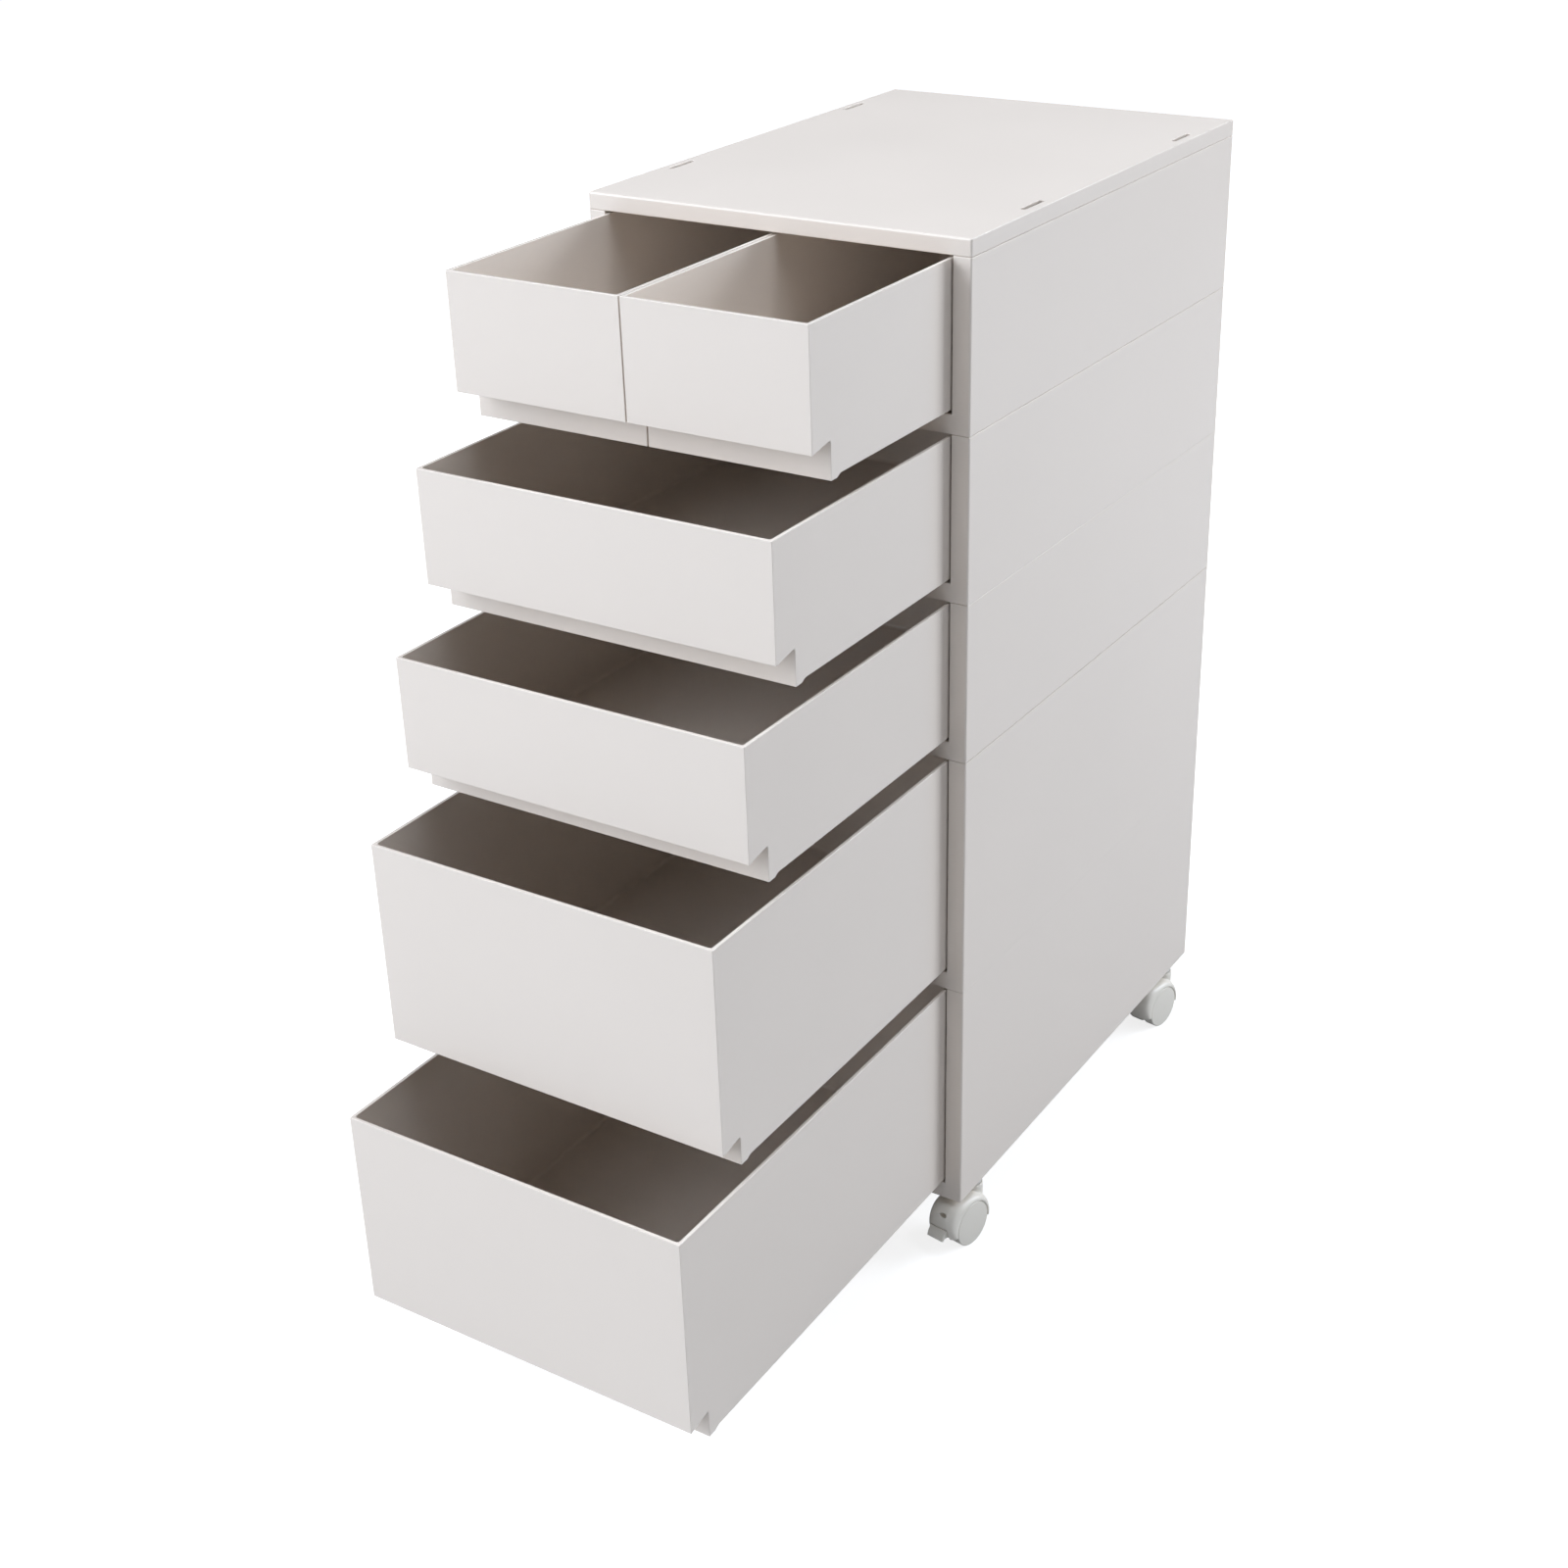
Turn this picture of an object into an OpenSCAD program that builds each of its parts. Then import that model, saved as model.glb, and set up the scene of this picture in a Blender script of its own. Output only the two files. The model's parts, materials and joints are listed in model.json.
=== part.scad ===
// Drawer tower: five stacked tray frames with six drawers, a top board and four casters.
// Millimetres, +Z up. The origin is on the floor, under the middle of the tower as it stands
// with its drawers pulled out.

/* [Tower] */
// Width over the side walls
tower_w = 260; // [200:1:340]
// Depth over front strips and back
tower_d = 370; // [360:1:460]
// Height that one shallow unit adds
shallow_unit_h = 103; // [95:1:130]
// Height that one deep unit adds
deep_unit_h = 162; // [155:1:200]
// Thickness of frame walls
wall_t = 2.5; // [2:0.1:3]
// Thickness of a frame's floor
floor_t = 2.5; // [2:0.1:3]
// Width of the strip in front of each side wall
strip_w = 11.7; // [11.5:0.1:14]
// Thickness of front strips and front rail
strip_t = 3; // [2.5:0.1:4]
// Height of the front rail
rail_h = 12; // [10:0.5:14]
// Thickness of the flange on top of each side wall
flange_t = 2.5; // [2:0.1:3]

/* [Top board] */
// Height of the board
board_h = 10.5; // [10.2:0.1:14]
// Thickness of its skin
board_t = 2.5; // [2:0.1:3]
// Thickness of the ribs under its skin
board_rib_t = 2; // [1.5:0.1:3]
// Thickness of the pads that carry its feet
pad_t = 1.5; // [1.2:0.1:2]

/* [Slots and feet] */
// Length of a slot
slot_l = 26; // [20:1:32]
// Width of a slot in the top board
slot_w = 3.5; // [3:0.1:3.6]
// Width of a slot in a frame's flange
flange_slot_w = 3.9; // [3.9:0.1:4.2]
// Distance of a slot's middle from the side
slot_in = 7.6; // [7.2:0.1:8]
// Distance of the front slot's middle from the front
slot_front = 88; // [80:1:95]
// Distance of the rear slot's middle from the back
slot_rear = 70; // [64:1:80]
// Length of a foot below its frame
foot_h = 5; // [4:0.1:6]
// Play all round a foot in its slot
foot_play = 0.35; // [0.2:0.05:0.5]

/* [Drawers] */
// Thickness of drawer walls and floors
drawer_t = 2.2; // [1.8:0.1:2.6]
// Length of a drawer
drawer_l = 350; // [335:1:352]
// Side play between a drawer and the strips
drawer_play = 0.9; // [0.5:0.1:1.5]
// Gap between the two half-width drawers
pair_gap = 0.8; // [0.5:0.1:1.5]
// Gap between a drawer's rim and the unit above
rim_gap = 1.5; // [1:0.1:4]
// Height of the front face on a shallow drawer
front_shallow_h = 70; // [55:1:74]
// Height of the front face on a deep drawer
front_deep_h = 132.4; // [110:1:137]
// Angle by which a front leans back at its foot
lean_angle = 1; // [0:0.1:3]
// Depth of the finger recess
recess_d = 20; // [16:0.5:24]
// Rise of the recess's ceiling behind the front
recess_rise = 3.5; // [1:0.1:5]
// How far the recess's back panel hangs below the drawer's sides
panel_hang = 1.8; // [1:0.1:2.5]
// Length of the lug behind that panel's foot
lug_l = 6; // [4:0.5:8]
// Gap between the panel's foot and the front rail
rail_gap = 0.4; // [0.3:0.1:1]
// Gap between a drawer and its runners
runner_gap = 0.3; // [0.2:0.05:0.5]
// Thickness of a runner
runner_t = 2.5; // [2:0.1:3]
// Distance of a runner from the side of its drawer
runner_in = 2; // [1.5:0.5:6]
// Distance of a drawer's stops from its rear
stop_rear = 32; // [30:1:40]
// Width of a stop under a drawer's rear
stop_w = 16; // [12:1:24]
// Thickness of that stop
stop_t = 3; // [2:0.1:4]

/* [Drawers as they stand] */
// Share of its travel that the top pair is pulled out
out_1_share = 0.481; // [0:0.001:0.96]
// Share of its travel that the second drawer is pulled out
out_2_share = 0.606; // [0:0.001:0.96]
// Share of its travel that the third drawer is pulled out
out_3_share = 0.706; // [0:0.001:0.96]
// Share of its travel that the fourth drawer is pulled out
out_4_share = 0.821; // [0:0.001:0.96]
// Share of its travel that the fifth drawer is pulled out
out_5_share = 0.956; // [0.85:0.001:0.96]

/* [Casters] */
// Height of the bottom frame above the floor
caster_h = 42; // [41:0.5:46]
// Radius of a wheel
wheel_r = 16; // [14:0.5:16]
// Width of a wheel
wheel_w = 9; // [7:0.5:9.5]
// Bulge of a wheel's outer face
wheel_bulge = 1.4; // [0.5:0.1:2]
// Distance of the wheels from the stem
trail = 12; // [11:0.5:14]
// Angle that the casters are turned by as they stand
caster_turn = 10; // [0:1:45]
// Radius of an axle
axle_r = 2; // [1.5:0.1:2.4]
// Radius of a stem
stem_r = 3; // [2.5:0.1:3]
// Distance of a stem from front and back
stem_y = 29; // [28:1:40]
// Radius of the bush round a stem
bush_r = 3.9; // [3.8:0.1:4.2]
// Length of the bush inside its boss
bush_l = 24; // [18:1:26]
// Thickness of the boss round a bush
boss_t = 1.1; // [0.8:0.1:1.2]
// Clearance of a fixed pin or bush in its seat
seat_gap = 0.02; // [0.01:0.01:0.04]
// Clearance of a turning pin in its bore
run_gap = 0.05; // [0.02:0.01:0.1]
// Clearance beside and above the wheels
wheel_gap = 0.5; // [0.3:0.1:0.8]
// Thickness of the hood over the wheels
hood_t = 4.8; // [4:0.1:5]
// Bulge of the hood's nose, ahead of the wheels
nose_bulge = 5.9; // [3:0.1:7]
// Thickness of the hood's web between the wheels
web_t = 3.4; // [2.8:0.1:4]
// Radius of the hood's neck
neck_r = 7.2; // [6.5:0.1:8]

/* [Brakes] */
// Width of a brake lever
lever_w = 13; // [10:0.5:14]
// Reach of a brake lever from its pin
lever_l = 9; // [7:0.5:12]
// Thickness of a brake lever
lever_t = 2.6; // [2:0.1:3]
// Radius of a brake lever's barrel
barrel_r = 2.3; // [2:0.1:2.5]
// Radius of a brake pin
pin_r = 1; // [0.8:0.1:1.2]

/* [Hidden] */
$fn = 64;
body_white = "#e6e4e1";
caster_white = "#dcdad4";
steel_grey = "#b9bcc0";

UNITS = [1, 2, 3, 4, 5];
SINGLES = [2, 3, 4, 5];
CORNERS = ["front_left", "front_right", "rear_left", "rear_right"];
function is_front(corner) = corner == "front_left" || corner == "front_right";
function is_left(corner) = corner == "front_left" || corner == "rear_left";
BRAKED = [for (corner = CORNERS) if (is_front(corner)) corner];
CASTER_PIECES = ["socket", "stem", "hood", "axle", "wheel_left", "wheel_right"];
BRAKE_PIECES = ["brake", "brake_pin"];

// One overrun for all cuts
over = 1;

// Pitch, height above the floor and pull of each unit, numbered from the top
function pitch(i) = i < 4 ? shallow_unit_h : deep_unit_h;
function unit_z(i) = i == 5 ? caster_h : unit_z(i + 1) + pitch(i + 1);
out_shares = [out_1_share, out_2_share, out_3_share, out_4_share, out_5_share];
function pull(i) = travel * out_shares[i - 1];
function front_h(i) = i < 4 ? front_shallow_h : front_deep_h;
board_z = unit_z(UNITS[0]) + pitch(UNITS[0]);

// Drawers: places inside a unit, from its underside up
drawers_w = tower_w - 2 * (strip_w + drawer_play);
half_w = (drawers_w - pair_gap) / 2;
drawer_x = strip_w + drawer_play;
drawer_z = rail_h + rail_gap + panel_hang;
function drawer_h(i) = pitch(i) - rim_gap - drawer_z;

// Runners start behind the closed drawer's lug
runner_h = drawer_z - runner_gap;
lug_chamfer = 2 * panel_hang;
lug_gap = 1;
runner_front = recess_d + lug_l + lug_chamfer + lug_gap;
runner_back = tower_d - wall_t;

// Stops hang from a drawer's floor and meet the rail's rear face
stop_gap = 0.3;
stop_foot_gap = 0.7;
stop_y = drawer_l - stop_rear - stop_t;
travel = stop_y - strip_t - stop_gap;
stop_drop = drawer_z - floor_t - stop_foot_gap;
stop_in = 24;

// Ribs stand clear of the slots; those on a side wall keep a drawer in line
guide_t = 2;
rib_ys = [slot_front / 2, slot_front + slot_l, (slot_front + tower_d - slot_rear) / 2,
          tower_d - slot_rear - slot_l, tower_d - slot_rear / 2];
slot_ys = [slot_front, tower_d - slot_rear];

// Board: ribs along it stand at even shares of its width
board_rib_shares = [0.25, 0.5, 0.75];
board_rib_foot = 1.5;
pad_margin = 4;
pad_l = slot_l + 2 * pad_margin;

// Casters: heights above the floor
boss_r = bush_r + boss_t;
boss_skin = 2;
stem_x = strip_w - boss_r;
bush_flange_r = 6.3;
bush_flange_t = 1.5;
collar_r = 5.4;
collar_t = 1;
collar_gap = 0.3;
bush_foot = caster_h - bush_flange_t;
neck_top = bush_foot - collar_t - collar_gap;
stem_end_gap = 2;
stem_top = caster_h + bush_l - stem_end_gap;
room_r = wheel_r + wheel_gap;
stem_seat_t = 0.9;
stem_seat = wheel_r + sqrt(pow(room_r, 2) - pow(trail - stem_r - run_gap, 2)) + stem_seat_t;

// Casters: sizes across, from the middle of the web
wheel_x = web_t / 2 + wheel_gap;
wheel_corner = 2.6;
rim_cover = 0.8;
canopy_w = 2 * (wheel_x + wheel_w - wheel_bulge + rim_cover);
axle_skin = 0.9;
axle_end_gap = 0.3;
axle_end = wheel_x + wheel_w - axle_skin - axle_end_gap;
web_edge = 1.8;
web_r = wheel_r - web_edge;

// Hood: angles about the axle, from straight ahead over the top, each with its share of the nose's bulge
hood_nose = [[-10, -0.08], [0, 0.25], [7, 0.46], [14, 0.66], [20, 0.8], [28, 0.93], [36, 1], [44, 1], [50, 0.93],
    [56, 0.76], [62, 0.56], [70, 0.32], [80, 0.14], [90, 0.07], [110, 0], [135, -0.05], [165, -0.17], [188, -0.25]];
mouth_angle = 14;

// Mouth of a front hood: its roof leaves room above the brake's barrel
mouth_r = room_r + hood_t + nose_bulge;
mouth_roof = [[0, 0], [-2 * mouth_r * cos(mouth_angle), 2 * mouth_r * sin(mouth_angle)],
    [-2 * mouth_r, 2 * mouth_r], [2 * mouth_r, 2 * mouth_r], [2 * mouth_r, -2 * mouth_r], [0, -2 * mouth_r]];

// Brake: the pin lies just ahead of the wheels' treads
pin_angle = 5;
barrel_gap = 0.7;
pin_d = room_r + barrel_gap + barrel_r;
cheek_gap = 0.3;
cheek_x = lever_w / 2 + cheek_gap;
pin_recess = 1.6;
pin_l = canopy_w - 2 * pin_recess;
lever_lip = 1.4;

// Points on an arc, for outlines
function arc(x, y, r, from, to, steps) =
    [for (k = [0:steps]) [x + r * cos(from + (to - from) * k / steps), y + r * sin(from + (to - from) * k / steps)]];

// An outline in depth and height, drawn out across the tower
module across(w) {
    rotate([90, 0, 90]) linear_extrude(w) children();
}

// A bar along X of the tower, about its middle
module rod(r, w) {
    translate([-w / 2, 0, 0]) rotate([0, 90, 0]) cylinder(r = r, h = w);
}

// A slot's shape, long in depth
module stadium(l, w, h) {
    linear_extrude(h) union() {
        square([w, l - w], center = true);
        for (side = [-1, 1]) translate([0, side * (l - w) / 2]) circle(d = w);
    }
}

// Copies on the left and the right of the tower
module both_sides() {
    children();
    translate([tower_w, 0, 0]) mirror([1, 0, 0]) children();
}

module in_tower(z = 0) {
    translate([-tower_w / 2, (pull(UNITS[4]) - tower_d) / 2, z]) children();
}

module slots(z, t, w) {
    both_sides() for (y = slot_ys)
        translate([slot_in, y, z - over]) stadium(slot_l, w, t + 2 * over);
}

module feet(top) {
    both_sides() for (y = slot_ys)
        translate([slot_in, y, -foot_h]) stadium(slot_l - 2 * foot_play, flange_slot_w - 2 * foot_play, foot_h + top);
}

// Walls, floor, strips, rail, flanges, runners and guide ribs of one unit
module tray(h) {
    cube([tower_w, tower_d, floor_t]);
    translate([0, tower_d - wall_t, 0]) cube([tower_w, wall_t, h]);
    cube([tower_w, strip_t, rail_h]);
    both_sides() {
        cube([wall_t, tower_d, h]);
        cube([strip_w, strip_t, h]);
        translate([0, 0, h - flange_t]) cube([strip_w, tower_d, flange_t]);
        runner(drawer_x + runner_in);
        for (y = rib_ys) translate([0, y - guide_t / 2, 0]) cube([strip_w, guide_t, h]);
    }
}

module frame(i) {
    color(body_white) in_tower(unit_z(i)) difference() {
        union() {
            tray(pitch(i));
            if (i < 5) feet(floor_t);
            if (i == UNITS[0]) both_sides() runner(drawer_x + half_w - runner_in - runner_t);
            if (i == 5) both_sides() bosses();
        }
        slots(pitch(i) - flange_t, flange_t, flange_slot_w);
        if (i == 5) both_sides() bush_bores();
    }
}

module runner(x) {
    translate([x, runner_front, 0]) cube([runner_t, runner_back - runner_front, runner_h]);
}

module bosses() {
    for (y = [stem_y, tower_d - stem_y]) translate([stem_x, y, 0]) cylinder(r = boss_r, h = bush_l + boss_skin);
}

module bush_bores() {
    for (y = [stem_y, tower_d - stem_y])
        translate([stem_x, y, -over]) cylinder(r = bush_r + seat_gap, h = bush_l + seat_gap + over);
}

module top_board() {
    color(body_white) in_tower(board_z) difference() {
        union() {
            difference() {
                cube([tower_w, tower_d, board_h]);
                translate([wall_t, strip_t, -over])
                    cube([tower_w - 2 * wall_t, tower_d - strip_t - wall_t, board_h - board_t + over]);
            }
            for (share = board_rib_shares)
                translate([share * tower_w - board_rib_t / 2, 0, board_rib_foot])
                    cube([board_rib_t, tower_d, board_h - board_t - board_rib_foot]);
            for (y = rib_ys)
                translate([0, y - board_rib_t / 2, board_rib_foot])
                    cube([tower_w, board_rib_t, board_h - board_t - board_rib_foot]);
            both_sides() for (y = slot_ys) translate([0, y - pad_l / 2, 0]) cube([strip_w, pad_l, pad_t]);
            feet(pad_t);
        }
        slots(board_h - board_t, board_t, slot_w);
    }
}

// A drawer's side outline: front, finger recess, lug, underside and back
function drawer_outline(h, face) = [
    [0, h],
    [face * tan(lean_angle), h - face],
    [recess_d, h - face + recess_rise],
    [recess_d, -panel_hang],
    [recess_d + lug_l, -panel_hang],
    [recess_d + lug_l + lug_chamfer, 0],
    [drawer_l, 0],
    [drawer_l, h]];

// The hollow follows that outline one wall further in
function hollow_outline(h, face) = [
    [drawer_t, h + over],
    [drawer_t, h],
    [drawer_t + face * tan(lean_angle), h - face + drawer_t],
    [recess_d + drawer_t, h - face + recess_rise + drawer_t],
    [recess_d + drawer_t, drawer_t],
    [drawer_l - drawer_t, drawer_t],
    [drawer_l - drawer_t, h + over]];

module drawer_stop(x) {
    translate([x - stop_w / 2, stop_y, -stop_drop]) cube([stop_w, stop_t, stop_drop + drawer_t]);
}

module drawer_box(i, w, stop_xs) {
    difference() {
        union() {
            across(w) polygon(drawer_outline(drawer_h(i), front_h(i)));
            for (x = stop_xs) drawer_stop(x);
        }
        translate([drawer_t, 0, 0]) across(w - 2 * drawer_t) polygon(hollow_outline(drawer_h(i), front_h(i)));
    }
}

module drawer(i) {
    color(body_white) in_tower(unit_z(i) + drawer_z) translate([drawer_x, -pull(i), 0])
        drawer_box(i, drawers_w, [stop_in + stop_w / 2, drawers_w - stop_in - stop_w / 2]);
}

// The half-width drawers lie side by side in the top unit
module half_drawer(x) {
    color(body_white) in_tower(unit_z(UNITS[0]) + drawer_z) translate([x, -pull(UNITS[0]), 0])
        drawer_box(UNITS[0], half_w, [half_w / 2]);
}

module at_corner(corner) {
    x = is_left(corner) ? stem_x : tower_w - stem_x;
    y = is_front(corner) ? stem_y : tower_d - stem_y;
    in_tower() translate([x, y, 0]) rotate([0, 0, is_left(corner) ? caster_turn : -caster_turn]) children();
}

// Nylon bush in the frame's boss, with a flange under the frame
module socket(corner) {
    color(caster_white) at_corner(corner) difference() {
        union() {
            translate([0, 0, bush_foot]) cylinder(r = bush_flange_r, h = bush_flange_t);
            translate([0, 0, bush_foot]) cylinder(r = bush_r, h = bush_flange_t + bush_l);
        }
        translate([0, 0, bush_foot - over]) cylinder(r = stem_r + seat_gap, h = bush_l + bush_flange_t + 2 * over);
    }
}

module stem(corner) {
    color(steel_grey) at_corner(corner) {
        translate([0, 0, stem_seat + collar_gap]) cylinder(r = stem_r, h = stem_top - stem_seat - collar_gap);
        translate([0, 0, bush_foot - collar_t]) cylinder(r = collar_r, h = collar_t);
    }
}

// The hood seen from its end, up to an angle from the axle's middle
function hood_outline(from) = concat([[0, 0]], [for (p = hood_nose) if (p[0] >= from)
    let (r = room_r + hood_t + p[1] * nose_bulge) [-r * cos(p[0]), r * sin(p[0])]]);

// A slice of the hood along X, from an angle to its rear end
module hood_slice(w, from) {
    translate([-w / 2, 0, 0]) across(w) polygon(hood_outline(from));
}

module at_axle() {
    translate([0, -trail, wheel_r]) children();
}

module at_pin() {
    at_axle() translate([0, -pin_d * cos(pin_angle), pin_d * sin(pin_angle)]) children();
}

// Mouth between the hood's cheeks, where the brake lever sits
module mouth() {
    difference() {
        rod(mouth_r, 2 * cheek_x);
        translate([-cheek_x - over, 0, 0]) across(2 * (cheek_x + over)) polygon(mouth_roof);
    }
}

// Dome over the wheels, web between them and neck round the stem
module hood(corner) {
    color(caster_white) at_corner(corner) difference() {
        union() {
            difference() {
                at_axle() hood_slice(canopy_w, hood_nose[0][0]);
                if (is_front(corner)) at_axle() mouth();
            }
            at_axle() rod(web_r, web_t);
            translate([0, 0, wheel_r]) cylinder(r = neck_r, h = neck_top - wheel_r);
        }
        for (side = [-1, 1]) at_axle() translate([side * (web_t + canopy_w) / 2, 0, 0]) rod(room_r, canopy_w);
        at_axle() rod(axle_r + seat_gap, web_t + 2 * over);
        translate([0, 0, stem_seat]) cylinder(r = stem_r + run_gap, h = neck_top - stem_seat + over);
        if (is_front(corner)) at_pin() rod(pin_r + seat_gap, canopy_w + 2 * over);
    }
}

module axle(corner) {
    color(steel_grey) at_corner(corner) at_axle() rod(axle_r, 2 * axle_end);
}

// A wheel's outline from its inner face out, with round corners and a bulged outer face
bulge_r = (pow(wheel_r - wheel_corner, 2) + pow(wheel_bulge, 2)) / (2 * wheel_bulge);
bulge_angle = asin((wheel_r - wheel_corner) / bulge_r);
wheel_outline = concat(
    [[0, 0]],
    arc(wheel_r - wheel_corner / 2, wheel_corner / 2, wheel_corner / 2, -90, 0, 4),
    arc(wheel_r - wheel_corner, wheel_w - wheel_bulge - wheel_corner, wheel_corner, 0, 90, 6),
    arc(0, wheel_w - bulge_r, bulge_r, 90 - bulge_angle, 90, 8));

module wheel(corner, side) {
    color(caster_white) at_corner(corner) at_axle() mirror([side == "left" ? 1 : 0, 0, 0]) difference() {
        translate([wheel_x, 0, 0]) rotate([0, 90, 0]) rotate_extrude() polygon(wheel_outline);
        rod(axle_r + run_gap, 2 * (axle_end + axle_end_gap));
    }
}

// Barrel on the pin, paddle ahead of it and a lip along the paddle's end
module brake(corner) {
    color(caster_white) at_corner(corner) at_pin() difference() {
        union() {
            rod(barrel_r, lever_w);
            translate([-lever_w / 2, -lever_l, -lever_t / 2]) cube([lever_w, lever_l, lever_t]);
            translate([-lever_w / 2, -lever_l, -lever_t / 2 - lever_lip]) cube([lever_w, lever_t / 2, lever_lip]);
        }
        rod(pin_r + run_gap, lever_w + 2 * over);
    }
}

module brake_pin(corner) {
    color(steel_grey) at_corner(corner) at_pin() rod(pin_r, pin_l);
}

top_board();
for (i = UNITS) frame(i);
half_drawer(drawer_x);  // drawer_1_left
half_drawer(drawer_x + half_w + pair_gap);  // drawer_1_right
for (i = SINGLES) drawer(i);
for (corner = CORNERS) {
    socket(corner);
    stem(corner);
    hood(corner);
    axle(corner);
    wheel(corner, "left");
    wheel(corner, "right");
}
for (corner = BRAKED) {
    brake(corner);
    brake_pin(corner);
}
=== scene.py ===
"""Plastic drawer tower, as photographed: white moulded units, pulled-out drawers, casters."""

import json
import math

import bmesh
import bpy
from mathutils import Matrix, Vector

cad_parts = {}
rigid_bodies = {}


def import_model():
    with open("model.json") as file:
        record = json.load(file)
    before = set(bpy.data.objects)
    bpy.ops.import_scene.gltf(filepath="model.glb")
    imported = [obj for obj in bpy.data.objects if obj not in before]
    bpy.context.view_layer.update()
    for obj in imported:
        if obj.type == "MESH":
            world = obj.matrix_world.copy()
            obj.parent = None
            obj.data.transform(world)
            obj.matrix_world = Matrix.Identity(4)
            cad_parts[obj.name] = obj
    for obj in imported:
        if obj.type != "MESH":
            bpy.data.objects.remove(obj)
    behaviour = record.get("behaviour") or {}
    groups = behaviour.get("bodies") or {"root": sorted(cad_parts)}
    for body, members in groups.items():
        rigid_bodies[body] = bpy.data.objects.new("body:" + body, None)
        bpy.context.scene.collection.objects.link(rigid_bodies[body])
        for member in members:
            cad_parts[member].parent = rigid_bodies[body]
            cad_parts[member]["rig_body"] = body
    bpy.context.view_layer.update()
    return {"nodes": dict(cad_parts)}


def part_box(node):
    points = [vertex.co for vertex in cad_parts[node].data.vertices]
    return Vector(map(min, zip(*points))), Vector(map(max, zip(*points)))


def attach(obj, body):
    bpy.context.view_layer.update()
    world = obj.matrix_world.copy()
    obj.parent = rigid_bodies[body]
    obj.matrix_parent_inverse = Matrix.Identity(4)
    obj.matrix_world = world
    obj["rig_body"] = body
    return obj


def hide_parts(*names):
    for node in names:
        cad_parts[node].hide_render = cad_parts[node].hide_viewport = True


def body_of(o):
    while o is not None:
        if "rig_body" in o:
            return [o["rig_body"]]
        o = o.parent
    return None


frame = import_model()
MM = 0.001

# Names of the tower's pieces
TRAYS = [f"frame_{i}" for i in range(1, 6)]
DRAWERS = ["drawer_1_left", "drawer_1_right"] + [f"drawer_{i}" for i in range(2, 6)]
CORNERS = ["front_left", "front_right", "rear_left", "rear_right"]

# Rounding of moulded edges
BOARD_EDGE = 1.4 * MM
TRAY_CORNER = 1.3 * MM
TRAY_EDGE = 0.35 * MM
SEAM_EDGE = 0.75 * MM
DRAWER_CORNER = 0.35 * MM
DRAWER_RIM = 0.35 * MM
DRAWER_FILLET = 2.4 * MM
EDGE_STEPS = 3
# An edge is rounded when its faces meet at more than SHARP. The rounding takes up to ROOM_SHARE of
# each edge beside it, leaving out edges that run on in nearly the same direction
SHARP = math.radians(25)
ROOM_SHARE = 0.45
SAME_RUN = 0.7
UPRIGHT = 0.9
SAME_PLACE = 0.1 * MM
# Cleaning of the CAD meshes, and how strongly large faces set the shading
WELD = 0.002 * MM
FLAT = math.radians(0.5)
FACE_WEIGHT = 100
WHEEL_FACE_WEIGHT = 50

# Casters, from the axle's middle. NOSE gives the hood's outline: angle over the top from straight
# ahead, in degrees, and the radius there, in mm
CASTER_TURN = math.radians(10)
TRAIL = 12 * MM
NOSE = [
    (-12, 20.6), (0, 22.8), (7, 24), (14, 25.2), (20, 26), (28, 26.8), (36, 27.2), (44, 27.2),
    (50, 26.8), (56, 25.8), (62, 24.6), (70, 23.2), (80, 22.1), (90, 21.7), (110, 21.3),
    (135, 21), (165, 20.3), (190, 19.8),
]
CHEEK_END = -10
MOUTH_TOP = 14
CANOPY_END = 188
OVERLAP = 1
SECTION_FROM = math.radians(9)
SECTION_TO = math.radians(171)
HOOD_HALF = 11 * MM
MOUTH_HALF = 6.8 * MM
HOOD_ROUND = 0.65
RIM_R = 15.6 * MM
ROOM_R = 16.15 * MM
WEB_HALF = 1.7 * MM
WEB_R = 14.2 * MM
NECK_R = 7.2 * MM
BORE_R = 3.3 * MM
BORE_DEPTH = 8.4 * MM
HOOD_GRAIN = 0.4 * MM
HOOD_SOFTNESS = 0.5
HOOD_PASSES = 6
ROD_STEPS = 72
HOOD_STEPS = 40
CHEEK_STEPS = 8
DIMPLE_ANGLE = 35
DIMPLE_R = 1.5 * MM
DIMPLE_DEPTH = 5 * MM
DIMPLE_SPREAD = 1.9
DIMPLE_SIDE = 2.2 * MM
# Wheels: from the middle of the web out
WHEEL_R = 15.98 * MM
WHEEL_IN = 2.2 * MM
WHEEL_RIM = 10.7 * MM
WHEEL_OUT = 11.2 * MM
WHEEL_CORNER = 0.9 * MM
WHEEL_INNER_CORNER = 1 * MM
CORNER_END = math.radians(84)
DOME_START = 0.12
WHEEL_STEPS = 96
INNER_STEPS = 6
CORNER_STEPS = 10
DOME_STEPS = 10
BORE_AXLE = 2.05 * MM
BORE_CAP = 0.9 * MM
ON_AXIS = 0.01 * MM
# Brake lever's outline: distance ahead of the axle and height above it, in mm
LEVER = [
    (24.2, 5.5), (26.9, 2.1), (27.9, -1.4), (26.4, -1.7), (25.2, -0.4), (21.5, -0.7), (18.6, -0.6),
    (17.2, 0.4), (16.8, 1.7), (17.1, 3.1), (18.2, 4),
]
LEVER_HALF = 6.5 * MM
LEVER_EDGE = 0.4 * MM
PIN_ROOM = 1.1 * MM

# Camera, fitted to the photograph with a small shift
CAMERA_EYE = Vector((720.5, -1153.6, 994.1)) * MM
CAMERA_AZIMUTH = 32.78
CAMERA_ELEVATION = 24.96
CAMERA_ROLL = -1.39
CAMERA_LENS = 53.6
SENSOR = 36
CAMERA_SHIFT = -0.05
CLIP_FROM = 0.05
CLIP_TO = 50

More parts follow.
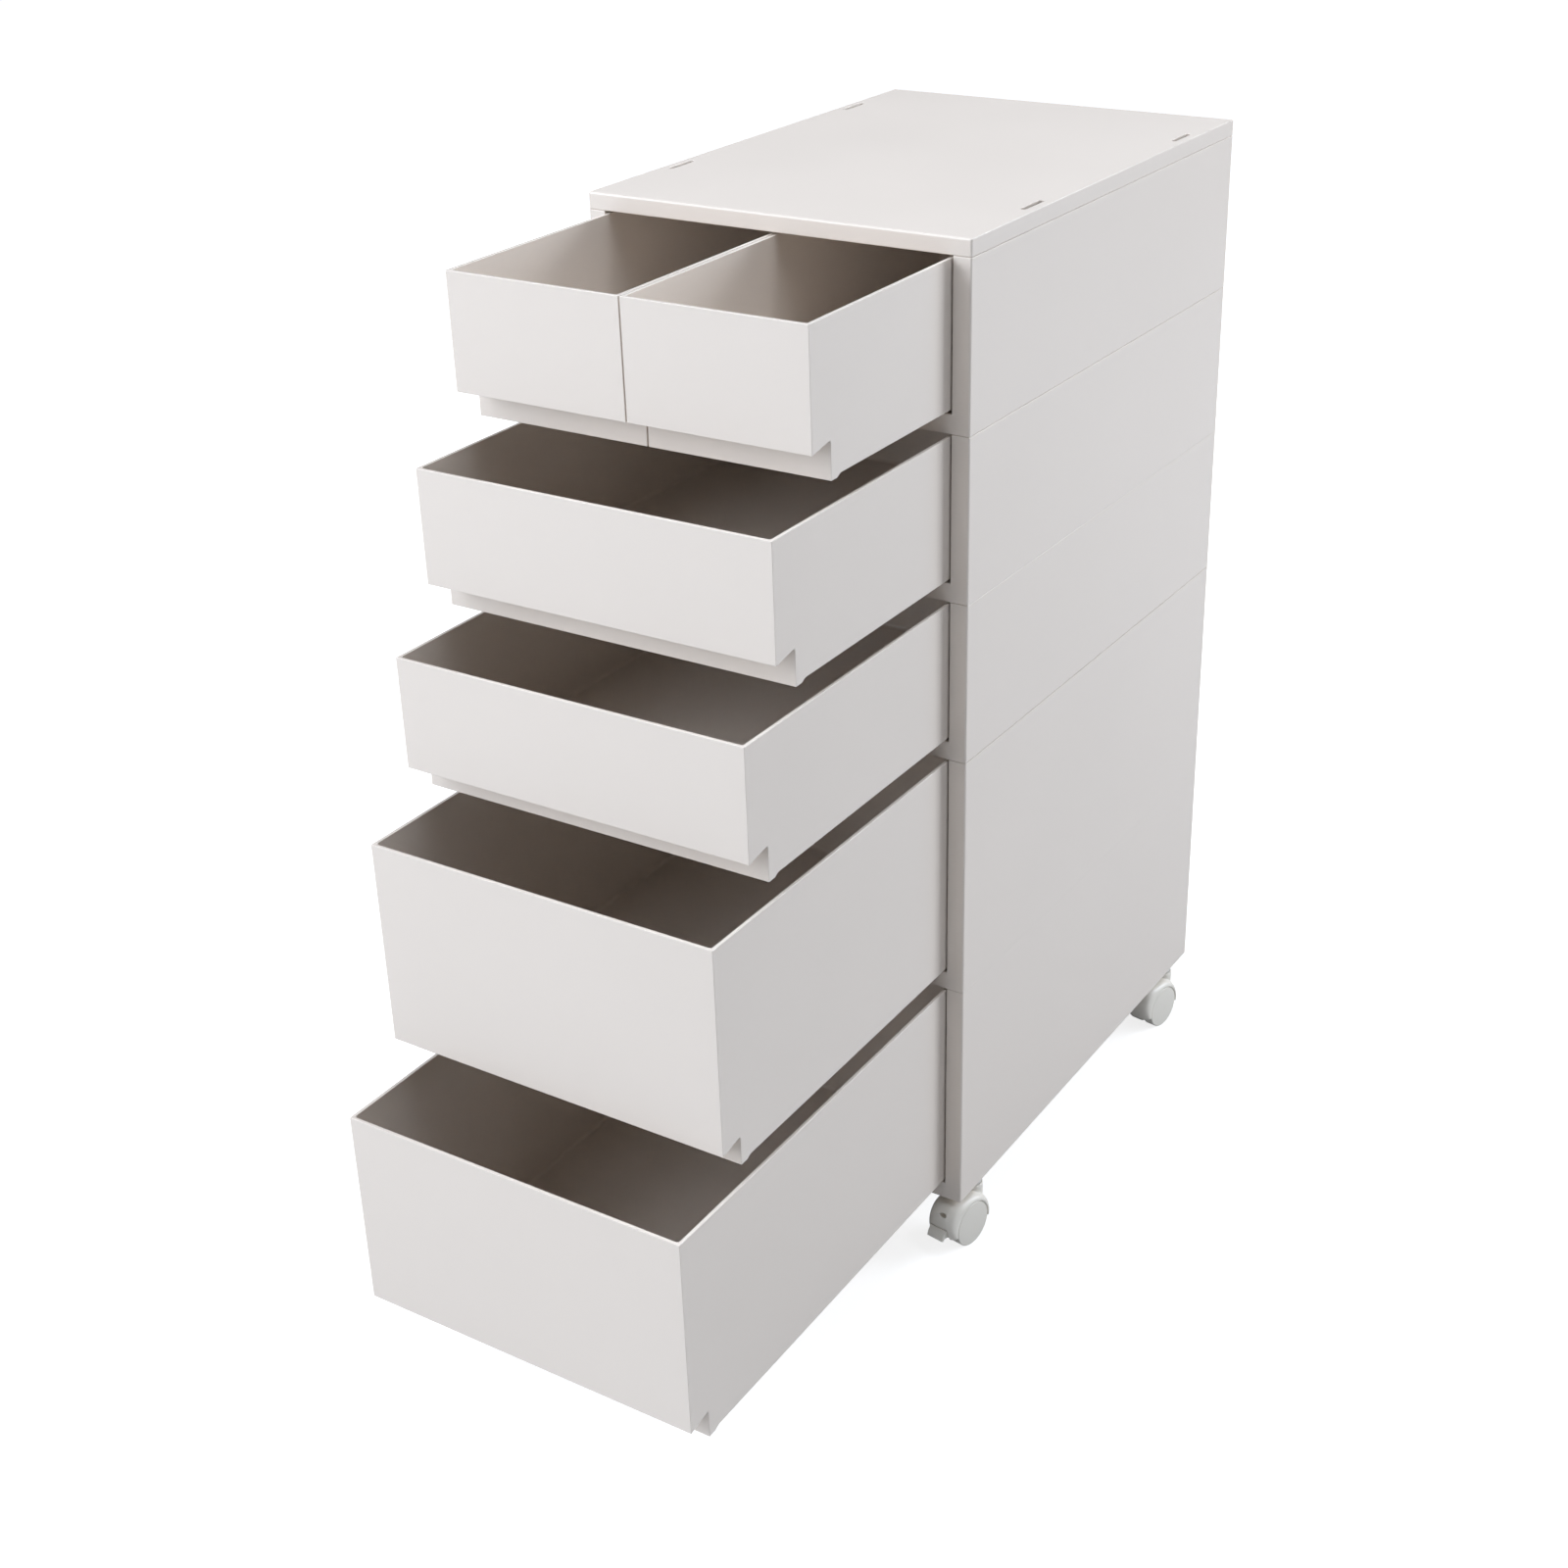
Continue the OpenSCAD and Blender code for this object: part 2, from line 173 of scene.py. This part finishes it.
# Plastics: sRGB colours and refraction of polypropylene and nylon, then how far the moulding's flow
# changes tone and roughness
PP_COLOUR = "#e4d9ce"
PP_IOR = 1.49
NYLON_COLOUR = "#eae3d7"
NYLON_IOR = 1.53
BUSH_COLOUR = "#dbd8d1"
FLOW_DARK = 0.985
FLOW_PALE = 1.012
SHEEN_DROP = 0.03
SHEEN_RISE = 0.04
# Zinc coat on the steel
ZINC_COLOUR = "#c3c6ca"
COAT_GRAIN = 1.5 * MM
COAT_DEPTH = 0.01 * MM


def linear(code):
    """An sRGB hex colour as linear RGBA."""
    parts = [int(code[i:i + 2], 16) / 255 for i in (1, 3, 5)]
    return (*[c / 12.92 if c <= 0.04045 else ((c + 0.055) / 1.055) ** 2.4 for c in parts], 1)


def node(tree, kind, settings=None, links=None):
    """Adds a shader node; settings go to its sockets or properties, links to its inputs."""
    made = tree.nodes.new(kind)
    for name, value in (settings or {}).items():
        if name in made.inputs:
            made.inputs[name].default_value = value
        else:
            setattr(made, name, value)
    for name, source in (links or {}).items():
        tree.links.new(source, made.inputs[name])
    return made


def new_material(name):
    """A material with an empty node tree."""
    made = bpy.data.materials.new(name)
    made.use_nodes = True
    made.node_tree.nodes.clear()
    return made


def moulded(name, code, roughness, ior, grain, grain_depth):
    """Moulded plastic: a fine grain from the mould and a faint drift of tone where it flowed."""
    made = new_material(name)
    tree = made.node_tree
    place = node(tree, "ShaderNodeTexCoord").outputs["Object"]
    flow = node(tree, "ShaderNodeTexNoise", {"Scale": 9, "Detail": 2, "Roughness": 0.45}, {"Vector": place})
    tone = node(tree, "ShaderNodeMix", {"data_type": "RGBA"}, {"Factor": flow.outputs["Fac"]})
    dark = [c * FLOW_DARK for c in linear(code)[:3]]
    pale = [c * FLOW_PALE for c in linear(code)[:3]]
    tone.inputs[6].default_value = (*dark, 1)
    tone.inputs[7].default_value = (*pale, 1)
    sheen = node(tree, "ShaderNodeMapRange", {
        "To Min": roughness - SHEEN_DROP,
        "To Max": roughness + SHEEN_RISE,
    }, {"Value": flow.outputs["Fac"]})
    pits = node(tree, "ShaderNodeTexNoise", {"Scale": 1 / grain, "Detail": 3, "Roughness": 0.6},
                {"Vector": place})
    relief = node(tree, "ShaderNodeBump", {"Strength": 0.35, "Distance": grain_depth},
                  {"Height": pits.outputs["Fac"]})
    surface = node(tree, "ShaderNodeBsdfPrincipled", {"IOR": ior}, {
        "Base Color": tone.outputs[2],
        "Roughness": sheen.outputs["Result"],
        "Normal": relief.outputs["Normal"],
    })
    node(tree, "ShaderNodeOutputMaterial", links={"Surface": surface.outputs["BSDF"]})
    return made


def zinc_plated_steel():
    """Steel with a thin bright zinc coat: slightly uneven shine and relief."""
    made = new_material("zinc_plated_steel")
    tree = made.node_tree
    place = node(tree, "ShaderNodeTexCoord").outputs["Object"]
    coat = node(tree, "ShaderNodeTexNoise", {"Scale": 1 / COAT_GRAIN, "Detail": 4}, {"Vector": place})
    shine = node(tree, "ShaderNodeMapRange", {"To Min": 0.26, "To Max": 0.4}, {"Value": coat.outputs["Fac"]})
    relief = node(tree, "ShaderNodeBump", {"Strength": 0.2, "Distance": COAT_DEPTH},
                  {"Height": coat.outputs["Fac"]})
    surface = node(tree, "ShaderNodeBsdfPrincipled", {"Base Color": linear(ZINC_COLOUR), "Metallic": 1},
                   {"Roughness": shine.outputs["Result"], "Normal": relief.outputs["Normal"]})
    node(tree, "ShaderNodeOutputMaterial", links={"Surface": surface.outputs["BSDF"]})
    return made


# Satin on the frames, glossier on the drawers; each with roughness, refraction, grain and its depth
BODY_PLASTIC = moulded("moulded_polypropylene", PP_COLOUR, 0.34, PP_IOR, 0.45 * MM, 0.012 * MM)
DRAWER_PLASTIC = moulded("moulded_polypropylene_drawers", PP_COLOUR, 0.19, PP_IOR, 0.45 * MM, 0.01 * MM)
CASTER_PLASTIC = moulded("moulded_nylon_hood", NYLON_COLOUR, 0.36, NYLON_IOR, 0.3 * MM, 0.008 * MM)
WHEEL_PLASTIC = moulded("moulded_nylon_wheel", NYLON_COLOUR, 0.36, NYLON_IOR, 0.3 * MM, 0.008 * MM)
BUSH_PLASTIC = moulded("moulded_nylon_bush", BUSH_COLOUR, 0.45, NYLON_IOR, 0.3 * MM, 0.01 * MM)
STEEL = zinc_plated_steel()


def room_beside(edge):
    """The widest rounding that the edges beside this one leave room for."""
    run = (edge.verts[1].co - edge.verts[0].co).normalized()
    room = 1
    for vert in edge.verts:
        for other in vert.link_edges:
            side = other.other_vert(vert).co - vert.co
            if other is not edge and abs(side.normalized().dot(run)) < SAME_RUN:
                room = min(room, ROOM_SHARE * side.length)
    return room


def rounded_copy(name, weigh, widest, material):
    """Stands for a CAD node with its edges rounded; weigh gives each edge's width, up to the widest."""
    mesh = frame["nodes"][name].data.copy()
    shape = bmesh.new()
    shape.from_mesh(mesh)
    bmesh.ops.remove_doubles(shape, verts=shape.verts, dist=WELD)
    bmesh.ops.dissolve_limit(shape, angle_limit=FLAT, verts=shape.verts, edges=shape.edges)
    layer = shape.edges.layers.float.new("bevel_weight_edge")
    for edge in shape.edges:
        if len(edge.link_faces) == 2 and edge.calc_face_angle(0) > SHARP:
            edge[layer] = min(weigh(edge), room_beside(edge)) / widest
    shape.to_mesh(mesh)
    shape.free()
    for face in mesh.polygons:
        face.use_smooth = True
    made = bpy.data.objects.new(f"{name}_shell", mesh)
    bpy.context.scene.collection.objects.link(made)
    rounding = made.modifiers.new("rounding", "BEVEL")
    rounding.limit_method = "WEIGHT"
    rounding.width = widest
    rounding.segments = EDGE_STEPS
    rounding.use_clamp_overlap = False
    evened = made.modifiers.new("evened", "WEIGHTED_NORMAL")
    evened.weight = FACE_WEIGHT
    mesh.materials.clear()
    mesh.materials.append(material)
    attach(made, body_of(frame["nodes"][name])[0])
    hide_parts(name)
    return made


def is_upright(edge):
    """True for an edge that runs up and down."""
    run = edge.verts[1].co - edge.verts[0].co
    return abs(run.z) > UPRIGHT * run.length


def on_wall(edge, low, high):
    """True for an edge that lies on the outer walls of a box in plan."""
    spots = [v.co for v in edge.verts]
    return any(all(abs(s[k] - end[k]) < SAME_PLACE for s in spots) for k in (0, 1) for end in (low, high))


def is_corner(edge, low, high):
    """True for an upright edge on the corner of a box in plan."""
    spot = edge.verts[0].co
    off = [min(abs(spot[k] - low[k]), abs(spot[k] - high[k])) for k in (0, 1)]
    return is_upright(edge) and max(off) < SAME_PLACE


def make_trays():
    for name in TRAYS:
        low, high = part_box(name)

        def weigh(edge):
            if is_corner(edge, low, high):
                return TRAY_CORNER
            return TRAY_EDGE if is_upright(edge) or not on_wall(edge, low, high) else SEAM_EDGE
        rounded_copy(name, weigh, TRAY_CORNER, BODY_PLASTIC)


def make_board():
    low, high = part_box("top_board")

    def weigh(edge):
        if not on_wall(edge, low, high):
            return TRAY_EDGE
        on_top = all(abs(v.co.z - high.z) < SAME_PLACE for v in edge.verts)
        return BOARD_EDGE if on_top or is_upright(edge) else SEAM_EDGE
    rounded_copy("top_board", weigh, BOARD_EDGE, BODY_PLASTIC)


def make_drawers():
    for name in DRAWERS:
        low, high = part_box(name)

        def weigh(edge):
            if not edge.is_convex:
                return DRAWER_FILLET
            on_rim = all(abs(v.co.z - high.z) < SAME_PLACE for v in edge.verts)
            return DRAWER_RIM if on_rim else DRAWER_CORNER
        rounded_copy(name, weigh, DRAWER_FILLET, DRAWER_PLASTIC)


def caster_place(corner):
    """From a caster's own axes, with the axle's middle as origin and -Y ahead, to the tower's."""
    low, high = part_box(f"{corner}_axle")
    turn = CASTER_TURN if corner.endswith("left") else -CASTER_TURN
    return Matrix.Translation((low + high) / 2) @ Matrix.Rotation(turn, 4, "Z")


def steps(start, end, count):
    return [start + (end - start) * k / count for k in range(count + 1)]


def nose(angle):
    """The hood's outer radius about the axle at an angle from straight ahead over the top."""
    for (a, r), (b, q) in zip(NOSE, NOSE[1:]):
        if a <= angle <= b:
            return (r + (q - r) * (angle - a) / (b - a)) * MM
    return NOSE[-1][1] * MM


def hood_section(angle, mouth):
    """The hood cut at an angle, as (x, radius) points; over the mouth only the left cheek is left."""
    height = nose(angle) - RIM_R
    outer = []
    for u in steps(SECTION_FROM, SECTION_TO, HOOD_STEPS):
        x = math.copysign(HOOD_HALF * abs(math.cos(u)) ** HOOD_ROUND, math.cos(u))
        outer.append((x, RIM_R + height * math.sin(u) ** HOOD_ROUND))
    if mouth:
        outer = [p for p in outer if p[0] < -MOUTH_HALF]
        return [(-MOUTH_HALF, outer[0][1]), *outer, (outer[-1][0], ROOM_R), (-MOUTH_HALF, ROOM_R)]
    return outer + [(-outer[0][0], ROOM_R), (outer[0][0], ROOM_R)]


def sweep(shape, angles, mouth=False, mirror=1):
    """Adds the hood between two angles as a closed skin."""
    rings = []
    for angle in angles:
        a = math.radians(angle)
        section = hood_section(angle, mouth)
        rings.append([shape.verts.new((mirror * x, -r * math.cos(a), r * math.sin(a))) for x, r in section])
    for ring, after in zip(rings, rings[1:]):
        for k in range(len(ring)):
            shape.faces.new((ring[k - 1], ring[k], after[k], after[k - 1]))
    shape.faces.new(rings[0])
    shape.faces.new(rings[-1][::-1])


def to_object(name, shape, place):
    """Turns a bmesh in a caster's own axes into an object."""
    bmesh.ops.recalc_face_normals(shape, faces=shape.faces)
    shape.transform(place)
    mesh = bpy.data.meshes.new(name)
    shape.to_mesh(mesh)
    shape.free()
    made = bpy.data.objects.new(name, mesh)
    bpy.context.scene.collection.objects.link(made)
    return made


def baked(made):
    """Applies an object's modifiers."""
    bpy.context.view_layer.update()
    mesh = bpy.data.meshes.new_from_object(made.evaluated_get(bpy.context.evaluated_depsgraph_get()))
    made.modifiers.clear()
    made.data = mesh
    return made


def rod(radius, start, end, place):
    """A closed bmesh rod along Z between two heights, then put in place."""
    shape = bmesh.new()
    middle = Matrix.Translation((0, 0, (start + end) / 2))
    bmesh.ops.create_cone(shape, cap_ends=True, segments=ROD_STEPS, radius1=radius, radius2=radius,
                          depth=end - start, matrix=place @ middle)
    return shape


def take_away(made, cutters):
    """Cuts other objects out of one and removes them."""
    for cutter in cutters:
        taken = made.modifiers.new(cutter.name, "BOOLEAN")
        taken.operation = "DIFFERENCE"
        taken.solver = "EXACT"
        taken.object = cutter
    baked(made)
    for cutter in cutters:
        bpy.data.objects.remove(cutter)
    return made


def make_hood(corner):
    """One smooth moulding: dome over the wheels, web between them, cheeks, and neck round the stem."""
    name = f"{corner}_hood"
    place = caster_place(corner)
    braked = corner.startswith("front")
    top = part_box(name)[1].z - place.translation.z
    still = Matrix.Identity(4)
    across = Matrix.Rotation(math.radians(90), 4, "Y")
    stem = Matrix.Translation((0, TRAIL, 0))
    neck = to_object("neck", rod(NECK_R, 0, top, stem), still)
    rooms = []
    for along in (across @ Matrix.Rotation(math.pi, 4, "X"), across):
        rooms.append(to_object("room", rod(ROOM_R, WEB_HALF, HOOD_HALF, along), still))
    take_away(neck, rooms)
    shape = bmesh.new()
    shape.from_mesh(neck.data)
    bpy.data.objects.remove(neck)
    sweep(shape, steps(MOUTH_TOP if braked else CHEEK_END, CANOPY_END, HOOD_STEPS))
    if braked:
        for mirror in (-1, 1):
            sweep(shape, steps(CHEEK_END, MOUTH_TOP + OVERLAP, CHEEK_STEPS), True, mirror)
    web = rod(WEB_R, -WEB_HALF, WEB_HALF, across)
    mesh = bpy.data.meshes.new("web")
    web.to_mesh(mesh)
    web.free()
    shape.from_mesh(mesh)
    made = to_object(f"{name}_shell", shape, still)
    blend = made.modifiers.new("blend", "REMESH")
    blend.mode = "VOXEL"
    blend.voxel_size = HOOD_GRAIN
    soft = made.modifiers.new("soft", "SMOOTH")
    soft.factor = HOOD_SOFTNESS
    soft.iterations = HOOD_PASSES
    baked(made)
    bore = to_object("bore", rod(BORE_R, top - BORE_DEPTH, top + NECK_R, stem), still)
    aim = Matrix.Translation((DIMPLE_SIDE, 0, 0)) @ Matrix.Rotation(math.radians(90 - DIMPLE_ANGLE), 4, "X")
    skin = nose(DIMPLE_ANGLE)
    stretch = Matrix.Scale(DIMPLE_SPREAD, 4, (1, 0, 0))
    dimple = rod(DIMPLE_R, skin - DIMPLE_DEPTH, skin + DIMPLE_DEPTH, aim @ stretch)
    take_away(made, [bore, to_object("dimple", dimple, still)])
    made.data.transform(place)
    for face in made.data.polygons:
        face.use_smooth = True
    made.data.materials.clear()
    made.data.materials.append(CASTER_PLASTIC)
    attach(made, body_of(frame["nodes"][name])[0])
    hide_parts(name)


def make_lever(corner):
    """Brake lever: closes the hood's mouth, wraps round its pin and ends in a square step to tread on."""
    name = f"{corner}_brake"
    place = caster_place(corner)
    shape = bmesh.new()
    left = [shape.verts.new((-LEVER_HALF, -y * MM, z * MM)) for y, z in LEVER]
    right = [shape.verts.new((LEVER_HALF, -y * MM, z * MM)) for y, z in LEVER]
    shape.faces.new(left)
    shape.faces.new(right[::-1])
    for k in range(len(LEVER)):
        shape.faces.new((left[k - 1], left[k], right[k], right[k - 1]))
    made = to_object(f"{name}_shell", shape, place)
    low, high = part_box(f"{corner}_brake_pin")
    middle = place.inverted() @ ((low + high) / 2)
    pin = Matrix.Translation(middle) @ Matrix.Rotation(math.radians(90), 4, "Y")
    reach = LEVER_HALF + PIN_ROOM
    take_away(made, [to_object("pin_hole", rod(PIN_ROOM, -reach, reach, pin), place)])
    rounding = made.modifiers.new("rounding", "BEVEL")
    rounding.limit_method = "ANGLE"
    rounding.angle_limit = SHARP
    rounding.width = LEVER_EDGE
    rounding.segments = EDGE_STEPS
    evened = made.modifiers.new("evened", "WEIGHTED_NORMAL")
    evened.weight = FACE_WEIGHT
    for face in made.data.polygons:
        face.use_smooth = True
    made.data.materials.append(CASTER_PLASTIC)
    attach(made, body_of(frame["nodes"][name])[0])
    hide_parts(name)


def make_wheel(corner, side):
    """Turned outline: flat inner face, round tread corners and a slightly domed outer face."""
    name = f"{corner}_wheel_{side}"
    inner = WHEEL_R - WHEEL_INNER_CORNER
    outline = [(BORE_AXLE, WHEEL_IN), (inner, WHEEL_IN)]
    for t in steps(0, math.pi / 2, INNER_STEPS)[1:]:
        rise = WHEEL_INNER_CORNER - WHEEL_INNER_CORNER * math.cos(t)
        outline.append((inner + WHEEL_INNER_CORNER * math.sin(t), WHEEL_IN + rise))
    edge = WHEEL_R - WHEEL_CORNER
    for t in steps(0, CORNER_END, CORNER_STEPS):
        rise = WHEEL_CORNER * math.sin(t)
        outline.append((edge + WHEEL_CORNER * math.cos(t), WHEEL_RIM - WHEEL_CORNER + rise))
    for k in steps(DOME_START, 1, DOME_STEPS):
        outline.append((edge * (1 - k), WHEEL_RIM + (WHEEL_OUT - WHEEL_RIM) * (1 - (1 - k) ** 2)))
    outline = [(r, x) for r, x in outline if r > ON_AXIS]
    way = -1 if side == "left" else 1
    shape = bmesh.new()
    turns = steps(0, 2 * math.pi, WHEEL_STEPS)[:-1]
    rings = []
    for r, x in outline:
        rings.append([shape.verts.new((way * x, r * math.cos(a), r * math.sin(a))) for a in turns])
    for ring, after in zip(rings, rings[1:]):
        for k in range(WHEEL_STEPS):
            shape.faces.new((ring[k - 1], ring[k], after[k], after[k - 1]))
    shape.faces.new(rings[-1])
    back = [shape.verts.new((way * (WHEEL_OUT - BORE_CAP), *v.co.yz)) for v in rings[0]]
    for k in range(WHEEL_STEPS):
        shape.faces.new((rings[0][k - 1], rings[0][k], back[k], back[k - 1]))
    shape.faces.new(back)
    made = to_object(f"{name}_shell", shape, caster_place(corner))
    for face in made.data.polygons:
        face.use_smooth = True
    evened = made.modifiers.new("evened", "WEIGHTED_NORMAL")
    evened.weight = WHEEL_FACE_WEIGHT
    made.data.materials.append(WHEEL_PLASTIC)
    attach(made, body_of(frame["nodes"][name])[0])
    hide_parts(name)


def make_casters():
    for corner in CORNERS:
        make_hood(corner)
        if corner.startswith("front"):
            make_lever(corner)
        for side in ("left", "right"):
            make_wheel(corner, side)


def finish_hidden_pieces():
    """Pins, stems, axles and bushes keep their CAD shape and get their real finish."""
    for name, piece in frame["nodes"].items():
        if piece.hide_render:
            continue
        piece.data.materials.clear()
        piece.data.materials.append(BUSH_PLASTIC if name.endswith("socket") else STEEL)
        for face in piece.data.polygons:
            face.use_smooth = False


# Floor: glow seen by the camera near the tower, and where it fades to white
FLOOR_GLOW = 0.8
FADE_FROM = 0.6
FADE_TO = 1.6
FLOOR_HALF = 8
FLOOR_COLOUR = "#b9b9b9"


def make_floor():
    """A pale studio floor that fades into the white background and keeps a faint shadow near the tower."""
    made = new_material("studio_floor")
    tree = made.node_tree
    paint = node(tree, "ShaderNodeBsdfDiffuse", {"Color": linear(FLOOR_COLOUR)})
    place = node(tree, "ShaderNodeTexCoord").outputs["Object"]
    away = node(tree, "ShaderNodeVectorMath", {"operation": "LENGTH"}, {0: place})
    level = node(tree, "ShaderNodeMapRange", {
        "From Min": FADE_FROM,
        "From Max": FADE_TO,
        "To Min": FLOOR_GLOW,
    }, {"Value": away.outputs["Value"]})
    glow = node(tree, "ShaderNodeEmission", {"Color": (1, 1, 1, 1)}, {"Strength": level.outputs["Result"]})
    both = node(tree, "ShaderNodeAddShader")
    tree.links.new(paint.outputs[0], both.inputs[0])
    tree.links.new(glow.outputs[0], both.inputs[1])
    seen = node(tree, "ShaderNodeLightPath").outputs["Is Camera Ray"]
    mix = node(tree, "ShaderNodeMixShader", links={"Fac": seen})
    tree.links.new(paint.outputs[0], mix.inputs[1])
    tree.links.new(both.outputs[0], mix.inputs[2])
    node(tree, "ShaderNodeOutputMaterial", links={"Surface": mix.outputs[0]})
    corners = [(x * FLOOR_HALF, y * FLOOR_HALF, 0) for x, y in ((-1, -1), (1, -1), (1, 1), (-1, 1))]
    mesh = bpy.data.meshes.new("floor")
    mesh.from_pydata(corners, [], [(0, 1, 2, 3)])
    mesh.materials.append(made)
    floor = bpy.data.objects.new("floor", mesh)
    bpy.context.scene.collection.objects.link(floor)


# Background's light on the tower; the camera itself sees the background white
AMBIENT = 0


def make_world():
    world = bpy.data.worlds.new("studio")
    bpy.context.scene.world = world
    world.use_nodes = True
    tree = world.node_tree
    tree.nodes.clear()
    seen = node(tree, "ShaderNodeLightPath").outputs["Is Camera Ray"]
    strength = node(tree, "ShaderNodeMapRange", {"To Min": AMBIENT, "To Max": 1}, {"Value": seen})
    backdrop = node(tree, "ShaderNodeBackground", {"Color": (1, 1, 1, 1)},
                    {"Strength": strength.outputs["Result"]})
    node(tree, "ShaderNodeOutputWorld", links={"Surface": backdrop.outputs[0]})


# Studio flash: a slightly cool white
LIGHT_TINT = "#ecf4ff"
# Softboxes: place, width, height and power; all face the tower's middle
LIGHT_AIM = Vector((0, 0, 0.35))
LIGHTS = {
    "key_softbox": ((-1.7, -2.2, 1.5), 1.6, 1.6, 59.4),
    "key_high_softbox": ((-1.4, -1.7, 2.6), 1.2, 1.2, 21),
    "front_softbox": ((0.2, -3.0, 1.0), 1.6, 1.6, 11.2),
    "front_high_softbox": ((-0.4, -2.6, 2.2), 1.2, 1.2, 4.6),
    "low_softbox": ((-0.4, -2.6, 0.35), 1.6, 0.6, 8.2),
    "right_high_softbox": ((2.0, -0.4, 2.4), 1.2, 1.2, 10.9),
    "right_back_softbox": ((2.3, 2.0, 1.2), 1.4, 1.6, 75),
    "top_softbox": ((0.1, 0.1, 2.6), 1.6, 1.6, 37.5),
    "top_back_softbox": ((0.2, 1.8, 2.2), 1.4, 1.4, 11.2),
}


def make_lights():
    for name, (spot, width, height, power) in LIGHTS.items():
        light = bpy.data.lights.new(name, "AREA")
        light.shape = "RECTANGLE"
        light.size = width
        light.size_y = height
        light.energy = power
        light.color = linear(LIGHT_TINT)[:3]
        made = bpy.data.objects.new(name, light)
        made.location = spot
        made.rotation_euler = (LIGHT_AIM - Vector(spot)).to_track_quat("-Z", "Y").to_euler()
        bpy.context.scene.collection.objects.link(made)


def make_camera():
    view = bpy.data.cameras.new("camera")
    view.sensor_width = SENSOR
    view.lens = CAMERA_LENS
    view.shift_y = CAMERA_SHIFT
    view.clip_start = CLIP_FROM
    view.clip_end = CLIP_TO
    made = bpy.data.objects.new("camera", view)
    turn = Matrix.Rotation(math.radians(CAMERA_AZIMUTH), 4, "Z")
    tilt = Matrix.Rotation(math.radians(90 - CAMERA_ELEVATION), 4, "X")
    roll = Matrix.Rotation(math.radians(CAMERA_ROLL), 4, "Z")
    made.matrix_world = Matrix.Translation(CAMERA_EYE) @ turn @ tilt @ roll
    bpy.context.scene.collection.objects.link(made)
    bpy.context.scene.camera = made


make_camera()
make_trays()
make_board()
make_drawers()
make_casters()
finish_hidden_pieces()
make_floor()
make_world()
make_lights()
bpy.context.scene.view_settings.view_transform = "Standard"
